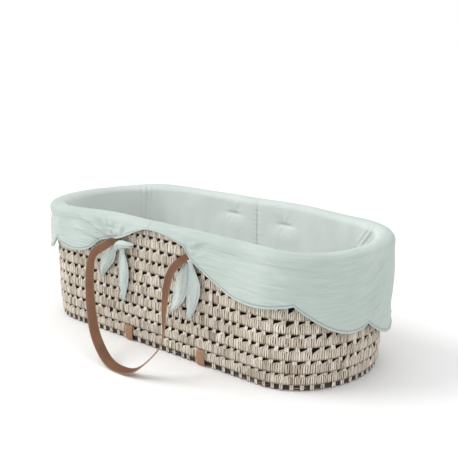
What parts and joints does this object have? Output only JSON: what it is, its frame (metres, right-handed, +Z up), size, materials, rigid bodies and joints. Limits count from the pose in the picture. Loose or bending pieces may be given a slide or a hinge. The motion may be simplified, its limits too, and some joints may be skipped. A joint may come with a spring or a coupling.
{
  "type": "moses basket",
  "caption": "Oval coiled palm-leaf baby basket with a padded gathered liner, tie bows, leather strap handles that lift and a lift-out mattress.",
  "frame": {"origin": "middle of the basket's foot, on the floor it stands on", "axes": "+X along the basket towards the end with the deeper skirt, -Y towards the front handle, +Z up"},
  "size_m": [0.8108, 0.5814, 0.265],
  "materials": {
    "palm": "matte dry palm leaf",
    "leather": "smooth vegetable-tanned leather",
    "liner_fabric": "crinkled cotton gauze",
    "tie_fabric": "crinkled cotton gauze",
    "mattress_fabric": "quilted cotton",
    "foam": "open-cell foam"
  },
  "bodies": {
    "basket": {"foot_coil": "palm", "wall_coil_1": "palm", "wall_coil_2": "palm", "wall_coil_3": "palm", "wall_coil_4": "palm", "wall_coil_5": "palm", "wall_coil_6": "palm", "wall_coil_7": "palm", "wall_coil_8": "palm", "wall_coil_9": "palm", "rim_coil": "palm", "base_coil_1": "palm", "base_coil_2": "palm", "base_coil_3": "palm", "base_coil_4": "palm", "base_core": "palm", "strap_left": "leather", "strap_right": "leather", "liner_skirt": "liner_fabric", "liner_wall_pad": "liner_fabric", "liner_base_pad": "liner_fabric", "tie_tail_front_left_outer": "tie_fabric", "tie_tail_front_left_inner": "tie_fabric", "tie_tail_front_right_inner": "tie_fabric", "tie_tail_front_right_outer": "tie_fabric", "tie_tail_back_left_outer": "tie_fabric", "tie_tail_back_left_inner": "tie_fabric", "tie_tail_back_right_inner": "tie_fabric", "tie_tail_back_right_outer": "tie_fabric", "tie_knot_front_left": "tie_fabric", "tie_knot_front_right": "tie_fabric", "tie_knot_back_left": "tie_fabric", "tie_knot_back_right": "tie_fabric"},
    "front_handle": {"handle_front": "leather"},
    "rear_handle": {"handle_rear": "leather"},
    "mattress": {"mattress_cover": "mattress_fabric", "mattress_core": "foam"}
  },
  "joints": [
    {"name": "front_handle_lift", "type": "hinge", "parent": "basket", "child": "front_handle", "pos_m": [0, -0.181, 0.214], "axis": [-1, 0, 0], "range_deg": [0, 155]},
    {"name": "rear_handle_lift", "type": "hinge", "parent": "basket", "child": "rear_handle", "pos_m": [0, 0.181, 0.214], "axis": [1, 0, 0], "range_deg": [0, 155]},
    {"name": "mattress_lift_out", "type": "slide", "parent": "basket", "child": "mattress", "axis": [0, 0, 1], "range_m": [0, 0.3]}
  ]
}
